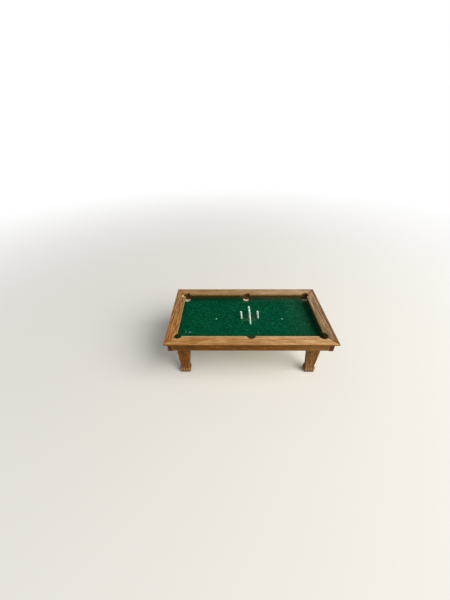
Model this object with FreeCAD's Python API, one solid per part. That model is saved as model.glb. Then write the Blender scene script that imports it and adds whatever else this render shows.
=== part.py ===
import FreeCAD, Part

import os

from FreeCAD import Placement, Rotation, Vector

# A pocket billiards table at one twelfth scale, with five skittle pegs in a cross.
# Millimetres.  X runs along the table, the player stands on the -Y side, Z is up.
# The origin is on the floor under the middle of the table.

# Whole table
TABLE_LENGTH = 200.0        # over the top rails
TABLE_WIDTH = 112.0         # over the top rails
TABLE_HEIGHT = 72.0         # floor to the top of the rails

# Top rails: four flat boards mitred at the corners
RAIL_WIDTH = 13.7
RAIL_THICK = 2.0
RAIL_OVERHANG = 3.5         # how far the rails stand out past the box walls
RAIL_EDGE_ROUND = 0.3

# Box walls: the side walls run the full width, the long walls butt between them
SIDE_WALL_THICK = 5.5
LONG_WALL_THICK = 6.4
SIDE_WALL_DROP = 0.6        # the side walls hang this much below the long walls
WALL_EDGE_ROUND = 0.3

# Bed: a board planted inside the walls, with cloth glued on top
PLAY_DEPTH = 10.0           # top of the rails down to the cloth
CLOTH_THICK = 0.5
CLOTH_MARGIN = 0.15         # the cloth stops this much short of the walls
BED_THICK = 3.5

# Pockets: bored from above through the rails, a little way into the bed
CORNER_POCKET_DIAM = 9.8
SIDE_POCKET_DIAM = 9.2
POCKET_END_INSET = 1.0      # corner pockets: centre to the rail's inner end edge
POCKET_EDGE_INSET = 0.3     # all pockets: centre to the long rail's inner edge
SIDE_POCKET_SHIFT = 0.9     # the two side pockets sit this much right of the middle
POCKET_SINK = 0.8           # how deep the bore runs into the bed board

# Skittle pegs: five in a cross, set by hand, each a push fit in a drilled hole
PEG_DIAM = 2.5
PEG_STAND = 11.5            # above the cloth
TALL_PEG_STAND = 13.4       # the middle one
PEG_SEAT = 2.6              # depth of the hole in the bed board
PEG_CLEARANCE = 0.05        # radial, peg in its hole
PEG_END_GAP = 0.1           # peg end to hole bottom
PEG_DOME = 0.8              # rounding of the peg's top
PEG_CHAMFER = 0.3           # lead-in on the peg's lower end
PEG_LEAN = 6.5              # degrees: the holes were drilled leaning to the left
PEG_PLACES = {
    "peg_middle": (3.0, 2.0),
    "peg_left": (-8.0, 1.3),
    "peg_right": (13.7, 2.3),
    "peg_front": (2.8, -9.5),
    "peg_back": (3.0, 12.1),
}

# Paper spots on the cloth
SPOT_DIAM = 2.2
SPOT_THICK = 0.15
SPOT_SPREAD = 43.6          # from their middle to each spot
SPOT_SHIFT_X = 2.1          # their middle sits this much right of the table's

# Legs: a flat shank that narrows from the knee to the ankle, on a carved paw
LEG_TOP_WIDTH = 16.8
LEG_TOP_DEPTH = 7.0
LEG_KNEE_HEIGHT = 36.0
LEG_KNEE_WIDTH = 16.4
LEG_KNEE_DEPTH = 6.8
LEG_ANKLE_WIDTH = 11.7
LEG_ANKLE_DEPTH = 6.4
LEG_CORNER_ROUND = 0.8
LEG_FRONT_INSET = 9.6       # long wall's inner face to the shank's front face
LEG_END_INSET = 0.1         # end of the bed board to the shank's outer face
PAW_HEIGHT = 12.0           # floor to the ankle
PAW_WIDTH = 13.8
PAW_SHIFT = 0.5             # the paw's middle lies this much outside the shank's
PAW_HEEL_DEPTH = 8.4
PAW_HEEL_HEIGHT = 7.5       # top of the heel above the floor
PAW_HEEL_DRAW = 0.2         # how much the heel's top is smaller than its widest level
PAW_SOLE_HEIGHT = 3.0       # widest level of the paw above the floor
PAW_SOLE_DRAW = 0.5         # how much the paw draws in below that level
TOE_COUNT = 4
TOE_PITCH = 3.3
TOE_RADIUS = 1.85
TOE_SOLE_RADIUS = 1.4       # the toes draw in towards the floor
TOE_HEIGHT = 8.6
TOE_REACH = 2.0             # toe tips ahead of the shank's front face

# Leg dowels: half in the leg, half in the bed board
DOWEL_DIAM = 3.2
DOWEL_IN_LEG = 5.0
DOWEL_IN_BED = 2.4
DOWEL_CLEARANCE = 0.05      # radial, the glue line round the dowel
DOWEL_END_GAP = 0.2         # each end of the dowel to the bottom of its hole

# Levels and faces that follow from the sizes above
rail_under = TABLE_HEIGHT - RAIL_THICK
cloth_top = TABLE_HEIGHT - PLAY_DEPTH
bed_top = cloth_top - CLOTH_THICK
bed_under = bed_top - BED_THICK
wall_end_x = TABLE_LENGTH / 2 - RAIL_OVERHANG
wall_face_y = TABLE_WIDTH / 2 - RAIL_OVERHANG
bed_end_x = wall_end_x - SIDE_WALL_THICK
bed_edge_y = wall_face_y - LONG_WALL_THICK
field_end_x = TABLE_LENGTH / 2 - RAIL_WIDTH
field_edge_y = TABLE_WIDTH / 2 - RAIL_WIDTH
pocket_end_x = field_end_x - POCKET_END_INSET
pocket_edge_y = field_edge_y - POCKET_EDGE_INSET
pocket_floor = bed_top - POCKET_SINK
leg_middle_x = bed_end_x - LEG_END_INSET - LEG_TOP_WIDTH / 2
leg_front_y = bed_edge_y - LEG_FRONT_INSET

CUT_OVERRUN = 1.0           # how far a cutting tool runs past the face it opens
LEFT_RIGHT = (("left", -1), ("right", 1))
FRONT_BACK = (("front", -1), ("back", 1))


def block(x0, x1, y0, y1, z0, z1):
    """A box between two opposite corners."""
    return Part.makeBox(x1 - x0, y1 - y0, z1 - z0, Vector(x0, y0, z0))


def prism(points, z0, z1):
    """An upright prism on a closed outline given as (x, y) points."""
    corners = [Vector(x, y, z0) for x, y in points]
    face = Part.Face(Part.makePolygon(corners + corners[:1]))
    return face.extrude(Vector(0, 0, z1 - z0))


def round_edges(solid, radius, wanted):
    """Fillet the edges for which wanted(edge) is true."""
    return solid.makeFillet(radius, [edge for edge in solid.Edges if wanted(edge)])


def runs_along(edge, axis):
    """True where a straight edge is parallel to the given axis letter."""
    start, end = edge.Vertexes[0].Point, edge.Vertexes[-1].Point
    step = end - start
    return abs(getattr(step.normalize(), axis)) > 0.999


def at_level(edge, z):
    return all(abs(vertex.Z - z) < 1e-6 for vertex in edge.Vertexes)


def pocket_plan():
    """Plan centre and diameter of each of the six pockets."""
    return [
        (x, side * pocket_edge_y, diameter)
        for _, side in FRONT_BACK
        for x, diameter in ((-pocket_end_x, CORNER_POCKET_DIAM),
                            (SIDE_POCKET_SHIFT, SIDE_POCKET_DIAM),
                            (pocket_end_x, CORNER_POCKET_DIAM))
    ]


def pocket_bores():
    """The six pocket cylinders, from the bed board up through the rails."""
    depth = TABLE_HEIGHT - pocket_floor + CUT_OVERRUN
    return [Part.makeCylinder(diameter / 2, depth, Vector(x, y, pocket_floor))
            for x, y, diameter in pocket_plan()]


def bored(solid):
    """The solid with the six pocket bores taken out of it."""
    return solid.cut(pocket_bores())


def rail(side, along_x):
    """A flat board with its two long top edges rounded, mitred and bored."""
    long_half, cross_half = TABLE_LENGTH / 2, TABLE_WIDTH / 2
    if not along_x:
        long_half, cross_half = cross_half, long_half
    inner = cross_half - RAIL_WIDTH
    board = block(-long_half, long_half, -cross_half, -inner, rail_under, TABLE_HEIGHT)
    board = round_edges(board, RAIL_EDGE_ROUND,
                        lambda edge: runs_along(edge, "x") and at_level(edge, TABLE_HEIGHT))
    mitre = prism([(-long_half, -cross_half), (long_half, -cross_half),
                   (long_half - RAIL_WIDTH, -inner), (RAIL_WIDTH - long_half, -inner)],
                  rail_under, TABLE_HEIGHT)
    board = board.common(mitre)
    turn = {(-1, True): 0, (1, True): 180, (1, False): 90, (-1, False): 270}[side, along_x]
    board.rotate(Vector(0, 0, 0), Vector(0, 0, 1), turn)
    return bored(board)


def long_wall(side):
    """A wall under the front or back rail, butted between the side walls."""
    inner, outer = side * bed_edge_y, side * wall_face_y
    wall = block(-bed_end_x, bed_end_x, min(inner, outer), max(inner, outer),
                 bed_under, rail_under)
    wall = round_edges(wall, WALL_EDGE_ROUND,
                       lambda edge: runs_along(edge, "x") and at_level(edge, bed_under)
                       and abs(edge.Vertexes[0].Y - outer) < 1e-6)
    return bored(wall)


def side_wall(side):
    """A wall under an end rail, with its end grain showing at front and back."""
    inner, outer = side * bed_end_x, side * wall_end_x
    under = bed_under - SIDE_WALL_DROP
    wall = block(min(inner, outer), max(inner, outer), -wall_face_y, wall_face_y,
                 under, rail_under)
    wall = round_edges(wall, WALL_EDGE_ROUND,
                       lambda edge: runs_along(edge, "y") and at_level(edge, under))
    return bored(wall)


def peg_stand(name):
    return TALL_PEG_STAND if name == "peg_middle" else PEG_STAND


def lean_at(place):
    """The placement of an upright piece that leans with the peg holes."""
    return Placement(Vector(*place, cloth_top), Rotation(Vector(0, 1, 0), -PEG_LEAN))


def peg_hole(place):
    """The drilled hole of one peg, through the cloth and into the bed board."""
    depth = CLOTH_THICK + PEG_SEAT
    hole = Part.makeCylinder(PEG_DIAM / 2 + PEG_CLEARANCE, depth + CUT_OVERRUN,
                             Vector(0, 0, -depth))
    hole.Placement = lean_at(place)
    return hole


def peg(place, stand):
    """A short length of dowel with a rounded top and a chamfered lower end."""
    low = PEG_END_GAP - CLOTH_THICK - PEG_SEAT
    stick = Part.makeCylinder(PEG_DIAM / 2, stand - low, Vector(0, 0, low))
    stick = round_edges(stick, PEG_DOME, lambda edge: at_level(edge, stand) and edge.Closed)
    ends = [edge for edge in stick.Edges if edge.Closed and at_level(edge, low)]
    stick = stick.makeChamfer(PEG_CHAMFER, ends)
    stick.Placement = lean_at(place)
    return stick


def peg_holes():
    return [peg_hole(place) for place in PEG_PLACES.values()]


def leg_section(middle, width, front, back, z):
    """A closed outline with round corners at one level, between two depths."""
    left, right = middle - width / 2, middle + width / 2
    face = Part.Face(Part.makePolygon([
        Vector(left, front, z), Vector(right, front, z),
        Vector(right, back, z), Vector(left, back, z), Vector(left, front, z)]))
    bar = face.extrude(Vector(0, 0, 1))
    bar = round_edges(bar, LEG_CORNER_ROUND, lambda edge: runs_along(edge, "z"))
    base = min(bar.Faces, key=lambda side: side.CenterOfMass.z)
    return base.OuterWire


def toe(x):
    """One upright toe with a ball top, its tip ahead of the shank."""
    y = TOE_RADIUS - TOE_REACH
    ball_level = TOE_HEIGHT - TOE_RADIUS
    post = Part.makeCone(TOE_SOLE_RADIUS, TOE_RADIUS, ball_level, Vector(x, y, 0))
    ball = Part.makeSphere(TOE_RADIUS, Vector(x, y, ball_level))
    return post.fuse(ball)


def leg(hand, side):
    """Shank and paw in one piece of wood, with the dowel hole in its top.

    It is drawn facing the front with its middle line at x = 0, and then turned to
    its corner, so that outward is +x for two of the legs and -x for the others.
    """
    ankle = leg_section(0, LEG_ANKLE_WIDTH, 0, LEG_ANKLE_DEPTH, PAW_HEIGHT)
    shank = Part.makeLoft([
        ankle,
        leg_section(0, LEG_KNEE_WIDTH, 0, LEG_KNEE_DEPTH, LEG_KNEE_HEIGHT),
        leg_section(0, LEG_TOP_WIDTH, 0, LEG_TOP_DEPTH, bed_under)], True, True)
    middle = -hand * side * PAW_SHIFT

    def paw_section(draw, z):
        return leg_section(middle, PAW_WIDTH - 2 * draw, 0, PAW_HEEL_DEPTH - draw, z)

    paw = Part.makeLoft([
        paw_section(PAW_SOLE_DRAW, 0),
        paw_section(0, PAW_SOLE_HEIGHT),
        paw_section(PAW_HEEL_DRAW, PAW_HEEL_HEIGHT),
        ankle], True, True)
    first = middle - (TOE_COUNT - 1) * TOE_PITCH / 2
    toes = [toe(first + index * TOE_PITCH) for index in range(TOE_COUNT)]
    body = shank.fuse([paw] + toes).removeSplitter()
    turn = 0 if side < 0 else 180
    corner = Vector(hand * leg_middle_x, side * leg_front_y, 0)
    body.Placement = Placement(corner, Rotation(Vector(0, 0, 1), turn))
    return body.cut(dowel_hole(hand, side))


def dowel_rod(hand, side, clearance, end_gap):
    """A round rod through the leg's top centre, from inside the leg to inside the bed."""
    low = bed_under - DOWEL_IN_LEG + end_gap
    high = bed_under + DOWEL_IN_BED - end_gap
    centre = Vector(hand * leg_middle_x, side * (leg_front_y - LEG_TOP_DEPTH / 2), low)
    return Part.makeCylinder(DOWEL_DIAM / 2 + clearance, high - low, centre)


def dowel_hole(hand, side):
    return dowel_rod(hand, side, DOWEL_CLEARANCE, 0)


def corners():
    """The four corners of the table as (name, hand, side)."""
    return [(f"{facing}_{name}", hand, side)
            for facing, side in FRONT_BACK for name, hand in LEFT_RIGHT]


def leg_dowels():
    """The four dowels, one on each leg, as separate solids."""
    return Part.makeCompound([dowel_rod(hand, side, 0, DOWEL_END_GAP)
                              for _, hand, side in corners()])


def bed_board():
    board = block(-bed_end_x, bed_end_x, -bed_edge_y, bed_edge_y, bed_under, bed_top)
    return bored(board).cut(peg_holes() + [dowel_hole(hand, side) for _, hand, side in corners()])


def cloth():
    """One thin sheet, cut out at the pockets and punched at the pegs."""
    end, edge = bed_end_x - CLOTH_MARGIN, bed_edge_y - CLOTH_MARGIN
    sheet = block(-end, end, -edge, edge, bed_top, cloth_top)
    return bored(sheet).cut(peg_holes())


def spot(hand):
    return Part.makeCylinder(SPOT_DIAM / 2, SPOT_THICK,
                             Vector(SPOT_SHIFT_X + hand * SPOT_SPREAD, 0, cloth_top))


def build():
    """Every piece of the table by its node name."""
    pieces = {"bed_board": bed_board(), "cloth": cloth(),
              "leg_dowels": leg_dowels()}
    for name, side in FRONT_BACK:
        pieces[f"rail_{name}"] = rail(side, along_x=True)
        pieces[f"wall_{name}"] = long_wall(side)
    for name, hand in LEFT_RIGHT:
        pieces[f"rail_{name}"] = rail(hand, along_x=False)
        pieces[f"wall_{name}"] = side_wall(hand)
        pieces[f"spot_{name}"] = spot(hand)
    for name, place in PEG_PLACES.items():
        pieces[name] = peg(place, peg_stand(name))
    for name, hand, side in corners():
        pieces[f"leg_{name}"] = leg(hand, side)
    return pieces


os.makedirs("parts", exist_ok=True)
for node, shape in build().items():
    shape.exportStep(f"parts/{node}.step")
    print(node, len(shape.Solids), round(shape.Volume, 2))
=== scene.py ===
# %% [markdown]
# # A doll's-house billiards table
# The real object is a small wooden model at one twelfth scale: four mitred top boards, a box of thin walls
# under them, a green cloth glued to a bed board, five white pegs and four legs that end in carved paws.
# The solids come from the construction model, which is loaded here as a fixed frame. Boards whose solid is
# already right keep it and get a finish. The legs, pegs, cloth and spots get a finer mesh of their own.

# %% Load the frame
import math

import bmesh
import bpy
from mathutils import Matrix, Vector, geometry, noise


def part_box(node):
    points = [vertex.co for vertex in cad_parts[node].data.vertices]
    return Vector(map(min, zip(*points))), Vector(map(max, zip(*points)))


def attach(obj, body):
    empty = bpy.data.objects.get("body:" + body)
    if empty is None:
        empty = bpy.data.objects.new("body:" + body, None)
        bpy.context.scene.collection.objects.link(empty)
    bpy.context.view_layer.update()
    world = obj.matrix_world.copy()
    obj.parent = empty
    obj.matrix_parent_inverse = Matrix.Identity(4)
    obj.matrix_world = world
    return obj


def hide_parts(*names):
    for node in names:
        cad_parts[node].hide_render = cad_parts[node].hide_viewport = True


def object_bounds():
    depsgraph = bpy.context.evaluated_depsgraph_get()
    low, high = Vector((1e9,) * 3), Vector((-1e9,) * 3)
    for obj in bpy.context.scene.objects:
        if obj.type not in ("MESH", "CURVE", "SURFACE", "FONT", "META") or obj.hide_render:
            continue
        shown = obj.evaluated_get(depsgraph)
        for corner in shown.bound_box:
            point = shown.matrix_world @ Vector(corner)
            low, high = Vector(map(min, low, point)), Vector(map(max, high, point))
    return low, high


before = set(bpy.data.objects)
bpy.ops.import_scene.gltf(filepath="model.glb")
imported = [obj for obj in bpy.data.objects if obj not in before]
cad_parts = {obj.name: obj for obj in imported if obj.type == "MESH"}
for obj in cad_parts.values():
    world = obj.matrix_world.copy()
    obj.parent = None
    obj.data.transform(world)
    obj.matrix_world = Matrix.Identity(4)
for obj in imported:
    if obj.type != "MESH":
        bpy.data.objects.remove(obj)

cad_low, cad_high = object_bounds()
MM = 0.001
print("solids:", len(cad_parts), "box in mm:", [round(v / MM, 1) for v in cad_high - cad_low])

# %% [markdown]
# ## The camera
# A short lens close to the table makes the near rail look much longer than the far one. A camera is placed
# by where it stands and by three turns: how far it swings to the side, how far it looks down, and how far
# it tips over. The turns are multiplied in that order, so each keeps its plain meaning.

# %% Camera
def in_scene(name, data):
    """A new object that holds this camera, lamp or mesh, linked to the scene."""
    thing = bpy.data.objects.new(name, data)
    bpy.context.scene.collection.objects.link(thing)
    return thing


CAMERA_PLACE = Vector((-28.07, -253.35, 278.78)) * MM
SWING_LEFT = math.radians(0.4389)
LOOK_DOWN = math.radians(36.232)
TIP_OVER = math.radians(-0.2570)

lens = bpy.data.cameras.new("short_lens")
lens.lens = 15.0
lens.sensor_width = 36.0
camera = in_scene("camera", lens)
camera.matrix_world = (
    Matrix.Translation(CAMERA_PLACE)
    @ Matrix.Rotation(SWING_LEFT, 4, "Z")
    @ Matrix.Rotation(math.pi / 2 - LOOK_DOWN, 4, "X")
    @ Matrix.Rotation(TIP_OVER, 4, "Z")
)
bpy.context.scene.camera = camera
bpy.context.scene.view_settings.view_transform = "Standard"
print("camera is", round(CAMERA_PLACE.length / MM), "mm from the middle of the table's feet")

# %% [markdown]
# ## Helpers for node trees
# A Blender material is a tree of small nodes joined by links. A few short helpers keep the later cells
# readable: they add a node, do arithmetic on values or on whole vectors, stretch a value between two limits,
# and make noise. Each takes a plain value or the output of another node, so their calls fit into each other.

# %% Node helpers
def feed(tree, socket, value):
    """Link an output to this socket, or set the socket to a plain value."""
    if isinstance(value, bpy.types.NodeSocket):
        tree.links.new(value, socket)
    elif value is not None:
        socket.default_value = value


def add(tree, kind, settings=None, **inputs):
    """A new node; an input such as Base Color is written Base_Color."""
    node = tree.nodes.new("ShaderNode" + kind)
    for name, value in (settings or {}).items():
        setattr(node, name, value)
    for name, value in inputs.items():
        feed(tree, node.inputs[name.replace("_", " ")], value)
    return node


def maths(tree, operation, *values, clamp=False):
    """Arithmetic on single values."""
    node = add(tree, "Math", {"operation": operation, "use_clamp": clamp})
    for socket, value in zip(node.inputs, values):
        feed(tree, socket, value)
    return node.outputs[0]


def times(tree, first, second):
    """One value times another: it thins a mask, or keeps only what two masks share."""
    return maths(tree, "MULTIPLY", first, second)


def vectors(tree, operation, *values):
    """Arithmetic on whole vectors; a length comes out as one value."""
    node = add(tree, "VectorMath", {"operation": operation})
    for socket, value in zip(node.inputs, values):
        feed(tree, socket, value)
    return node.outputs["Value" if operation == "LENGTH" else "Vector"]


def split(tree, vector):
    """The X, Y and Z of a vector, each as one value."""
    return add(tree, "SeparateXYZ", Vector=vector).outputs


def apart(tree, first, second):
    """How far apart two places are."""
    return vectors(tree, "LENGTH", vectors(tree, "SUBTRACT", first, second))


def between(tree, value, start, end, low=0.0, high=1.0):
    """A soft step: low up to start, high from end on."""
    node = add(tree, "MapRange", {"interpolation_type": "SMOOTHSTEP"}, Value=value)
    for name, limit in (("From Min", start), ("From Max", end), ("To Min", low), ("To Max", high)):
        feed(tree, node.inputs[name], limit)
    return node.outputs["Result"]


def fades(tree, value, start, end):
    """A soft step down: 1 up to start, 0 from end on."""
    return between(tree, value, start, end, 1.0, 0.0)


def cloud(tree, place, scale, detail=2.0, roughness=0.5, colour=False):
    """Smooth noise from 0 to 1."""
    node = add(tree, "TexNoise", Vector=place, Scale=scale, Detail=detail, Roughness=roughness)
    return node.outputs["Color" if colour else "Fac"]


print("node helpers ready")

# %% [markdown]
# ## Helpers for colours and materials
# A finish is built up as a painter would do it: a ground colour, then one thin coat after another. Each coat
# has a mask that says where it lies, a share that says how thick it is, and a colour. At the end the colour,
# a roughness and a height for the bumps are joined to the shader.

# %% Colours, coats and materials
def paint(hex_colour):
    """A colour as it is written in a paint chart, turned into Blender's linear colour."""
    parts = [int(hex_colour[i : i + 2], 16) / 255 for i in (0, 2, 4)]
    linear = [c / 12.92 if c <= 0.04045 else ((c + 0.055) / 1.055) ** 2.4 for c in parts]
    return (*linear, 1.0)


def tint(tree, share, first, second, way="MIX"):
    """Mix two colours by share; each is a paint-chart colour or the output of a node."""
    node = add(tree, "Mix", {"data_type": "RGBA", "blend_type": way})
    feed(tree, node.inputs[0], share)
    for index, colour in ((6, first), (7, second)):
        feed(tree, node.inputs[index], paint(colour) if isinstance(colour, str) else colour)
    return node.outputs[2]


def coats(tree, ground, layers):
    """Lay coats over a ground colour, one after another; each is its mask, its share and its colour."""
    for mask, share, colour in layers:
        ground = tint(tree, mask if share == 1.0 else times(tree, mask, share), ground, colour)
    return ground


def new_material(name, **fixed):
    """A material, its tree and its shader, which has these values all over."""
    material = bpy.data.materials.new(name)
    material.use_nodes = True
    material.node_tree.nodes.clear()
    tree = material.node_tree
    shader = add(tree, "BsdfPrincipled", **fixed)
    add(tree, "OutputMaterial", Surface=shader.outputs[0])
    return material, tree, shader


def surface(tree, shader, colour, rough, height, strength, depth):
    """Join the finish to the shader; depth is how deep its bumps are, in millimetres."""
    bump = add(tree, "Bump", Height=height, Strength=strength, Distance=depth * MM)
    for name, value in (("Base Color", colour), ("Roughness", rough), ("Normal", bump.outputs[0])):
        feed(tree, shader.inputs[name], value)


def own_place(tree):
    """Where a surface point lies on its own piece, in metres, so that a pattern moves with the piece."""
    return add(tree, "TexCoord").outputs["Object"]


def faces_along(tree, axis):
    """1 where the surface faces straight along an axis, 0 where it is side on to it."""
    return maths(tree, "ABSOLUTE", split(tree, add(tree, "TexCoord").outputs["Normal"])[axis])


print("a mid grey, 808080, is", round(paint("808080")[0], 3), "as a linear value")

# %% [markdown]
# ## Helpers for node groups
# An effect that several finishes need, such as grain or wear, is a node group. It has named sockets, like a
# tool with its own dials. It is built once, and each material places it and sets the dials for itself. Every
# group here takes a place, because all patterns are solid ones, and gives out masks and distances.

# %% Group helpers
def new_group(name, inputs, outputs):
    """A group with a Vector input for the place: its tree, its inputs, and where its results go. An input
    that starts as one number is a value, and one that starts as three is a vector."""
    tree = bpy.data.node_groups.new(name, "ShaderNodeTree")
    tree.interface.new_socket(name="Vector", in_out="INPUT", socket_type="NodeSocketVector")
    for label, start in inputs.items():
        kind = "NodeSocketFloat" if isinstance(start, float) else "NodeSocketVector"
        tree.interface.new_socket(name=label, in_out="INPUT", socket_type=kind).default_value = start
    for label in outputs:
        tree.interface.new_socket(name=label, in_out="OUTPUT", socket_type="NodeSocketFloat")
    return tree, tree.nodes.new("NodeGroupInput").outputs, tree.nodes.new("NodeGroupOutput").inputs


def place_group(tree, group, place, **inputs):
    """One use of a node group, with this material's own values."""
    return add(tree, "Group", {"node_tree": group}, Vector=place, **inputs).outputs


print("group helpers ready")

# %% [markdown]
# ## Floor and backdrop
# The table stands on a plain pale floor. Near the table the floor is an ordinary matt surface, so that it
# catches the shadow. Further out it fades to plain white for rays that come straight from the camera or off
# a glossy surface, and so does the world behind it, so no horizon shows and the lamps need no extra power.

# %% Floor and world
def seen_directly(tree):
    """1 for camera, glossy and transmission rays, 0 for the light that falls on the table."""
    path = add(tree, "LightPath").outputs
    either = maths(tree, "MAXIMUM", path["Is Camera Ray"], path["Is Glossy Ray"])
    return maths(tree, "MAXIMUM", either, path["Is Transmission Ray"])


FLOOR_RADIUS = 4.0
FLOOR_FADE_START = 0.16
FLOOR_FADE_END = 1.10


def mesh_from(name, form):
    """The mesh of a finished bmesh."""
    mesh = bpy.data.meshes.new(name)
    form.to_mesh(mesh)
    form.free()
    return mesh


form = bmesh.new()
bmesh.ops.create_circle(form, cap_ends=True, segments=96, radius=FLOOR_RADIUS)
floor = in_scene("floor", mesh_from("floor", form))

floor_paint, tree, shader = new_material(
    "floor_paint", Base_Color=paint("EFECE6"), Roughness=0.9, Specular_IOR_Level=0.1
)
glow = add(tree, "Emission", Color=(1, 1, 1, 1), Strength=1.0)
away = between(tree, vectors(tree, "LENGTH", own_place(tree)), FLOOR_FADE_START, FLOOR_FADE_END)
fade = add(tree, "MixShader", Fac=times(tree, away, seen_directly(tree)))
tree.links.new(shader.outputs[0], fade.inputs[1])
tree.links.new(glow.outputs[0], fade.inputs[2])
tree.links.new(fade.outputs[0], tree.nodes["Material Output"].inputs["Surface"])
floor.data.materials.append(floor_paint)

SKY_FILL = 0.32
sky = bpy.data.worlds.new("soft_room")
bpy.context.scene.world = sky
sky.use_nodes = True
tree = sky.node_tree
tree.nodes.clear()
strength = between(tree, seen_directly(tree), 0.0, 1.0, SKY_FILL, 1.0)
background = add(tree, "Background", Color=(1, 1, 1, 1), Strength=strength)
add(tree, "OutputWorld", Surface=background.outputs[0])
print("floor radius", FLOOR_RADIUS, "m, fill light", SKY_FILL)

# %% [markdown]
# ## Lamps
# One large soft lamp stands to the right and a little in front, as a window would, so the right rail shades
# the cloth beside it and each leg's shadow falls to the left. Its power is worked out from the light that a
# level white surface should send back, so that a colour renders about as it is written.

# %% Window lamp
WINDOW_TURN = math.radians(-31)
WINDOW_HEIGHT = math.radians(42)
WINDOW_DISTANCE = 2.4
WINDOW_SIZE = 2.1
WINDOW_SHARE = 0.76

toward = Vector((
    math.cos(WINDOW_HEIGHT) * math.cos(WINDOW_TURN),
    math.cos(WINDOW_HEIGHT) * math.sin(WINDOW_TURN),
    math.sin(WINDOW_HEIGHT),
))
window = bpy.data.lights.new("window", "AREA")
window.shape = "DISK"
window.size = WINDOW_SIZE
window.energy = WINDOW_SHARE * math.pi**2 * WINDOW_DISTANCE**2 / toward.z
window.color = (1.0, 0.985, 0.96)
lamp = in_scene("window", window)
lamp.location = toward * WINDOW_DISTANCE + Vector((0, 0, 60 * MM))
lamp.rotation_mode = "QUATERNION"
lamp.rotation_quaternion = toward.to_track_quat("Z", "Y")
lamp.visible_camera = False
print("window lamp", round(window.energy, 2), "W")

# %% [markdown]
# ## Wood grain
# Oak shows several things at once: slow bands where the growth rings meet the surface, long streaks where
# the stain took unevenly, fine fibres, pale ray flecks, and short dark pores that crowd at the start of each
# ring. All are solid patterns, cut by the surface as a saw cuts a log, so the end of a board shows the same
# rings as its face. The group expects a place whose X runs along the grain and whose origin is the middle of
# the log.

# %% Group: oak grain
oak_grain, given, result = new_group(
    "oak_grain",
    {"Ring Spacing": 2.6, "Waver": 1.4, "Pore Size": 0.33},
    ("Rings", "Streaks", "Fibres", "Flecks", "Pores"),
)
tree = oak_grain
place = vectors(tree, "MULTIPLY", given["Vector"], (1000, 1000, 1000))
slow = vectors(tree, "MULTIPLY", place, (0.022, 0.11, 0.11))
sway = vectors(tree, "SUBTRACT", cloud(tree, slow, 1.0, colour=True), (0.5, 0.5, 0.5))
sway = vectors(tree, "MULTIPLY", sway, (0, 4, 4))
bent = vectors(tree, "ADD", place, vectors(tree, "MULTIPLY", sway, given["Waver"]))

from_heart = vectors(tree, "LENGTH", vectors(tree, "MULTIPLY", bent, (0, 1, 1)))
phase = maths(tree, "FRACT", maths(tree, "DIVIDE", from_heart, given["Ring Spacing"]))
early = times(tree, between(tree, phase, 0.0, 0.10), fades(tree, phase, 0.15, 0.75))
feed(tree, result["Rings"], early)

# How fast each noise changes along and across the grain, its detail and roughness, and the range it fills.
DRAWN_OUT = {
    "Streaks": (0.055, 0.55, 3.0, 0.6, 0.37, 0.63),
    "Fibres": (0.10, 1.7, 4.0, 0.62, 0.37, 0.63),
    "Flecks": (0.16, 1.6, 2.0, 0.5, 0.52, 0.66),
}
for label, (along, across, detail, roughness, start, end) in DRAWN_OUT.items():
    drawn = vectors(tree, "MULTIPLY", bent, (along, across, across))
    feed(tree, result[label], between(tree, cloud(tree, drawn, 1.0, detail, roughness), start, end))

pit_place = vectors(tree, "MULTIPLY", bent, (0.17, 1.5, 1.5))
pits = add(tree, "TexVoronoi", Vector=pit_place, Scale=1.0).outputs["Distance"]
pit = fades(tree, pits, times(tree, given["Pore Size"], 0.6), given["Pore Size"])
crowd = between(tree, early, 0.0, 1.0, 0.35, 1.0)
feed(tree, result["Pores"], times(tree, pit, crowd))
print("group", oak_grain.name)

# %% [markdown]
# ## Where the edges are
# Handling wears a board pale along its edges and leaves dirt where two boards meet. A board is a box, so the
# distance to its nearest edge is simple: of the three distances to its pairs of faces, the smallest is zero
# on the surface and the middle one is the distance to the edge. A second group measures how far a point is
# from the wall of the nearest pocket, by folding the table onto one quarter of itself.

# %% Groups: edge distance and pocket distance
edge_distance, given, result = new_group(
    "edge_distance", {"Low": (0, 0, 0), "High": (1, 1, 1)}, ("Distance",)
)
tree = edge_distance
from_low = vectors(tree, "ABSOLUTE", vectors(tree, "SUBTRACT", given["Vector"], given["Low"]))
from_high = vectors(tree, "ABSOLUTE", vectors(tree, "SUBTRACT", given["Vector"], given["High"]))
nearest = split(tree, vectors(tree, "MINIMUM", from_low, from_high))
small = maths(tree, "MINIMUM", nearest["X"], nearest["Y"])
large = maths(tree, "MAXIMUM", nearest["X"], nearest["Y"])
middle = maths(tree, "MAXIMUM", small, maths(tree, "MINIMUM", large, nearest["Z"]))
feed(tree, result["Distance"], times(tree, middle, 1000))

POCKET_Y = 42.0
CORNER_POCKET_X = 85.3
CORNER_POCKET_RADIUS = 4.9
SIDE_POCKET_X = 0.9
SIDE_POCKET_RADIUS = 4.6

pocket_distance, given, result = new_group("pocket_distance", {}, ("Distance",))
tree = pocket_distance
flat_place = vectors(tree, "MULTIPLY", given["Vector"], (1000, 1000, 0))
corner = apart(tree, vectors(tree, "ABSOLUTE", flat_place), (CORNER_POCKET_X, POCKET_Y, 0))
corner = maths(tree, "SUBTRACT", corner, CORNER_POCKET_RADIUS)
shifted = vectors(tree, "ABSOLUTE", vectors(tree, "SUBTRACT", flat_place, (SIDE_POCKET_X, 0, 0)))
side = maths(tree, "SUBTRACT", apart(tree, shifted, (0, POCKET_Y, 0)), SIDE_POCKET_RADIUS)
feed(tree, result["Distance"], maths(tree, "ABSOLUTE", maths(tree, "MINIMUM", corner, side)))
print("six pockets, on two lines", POCKET_Y, "mm from the middle")

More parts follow.
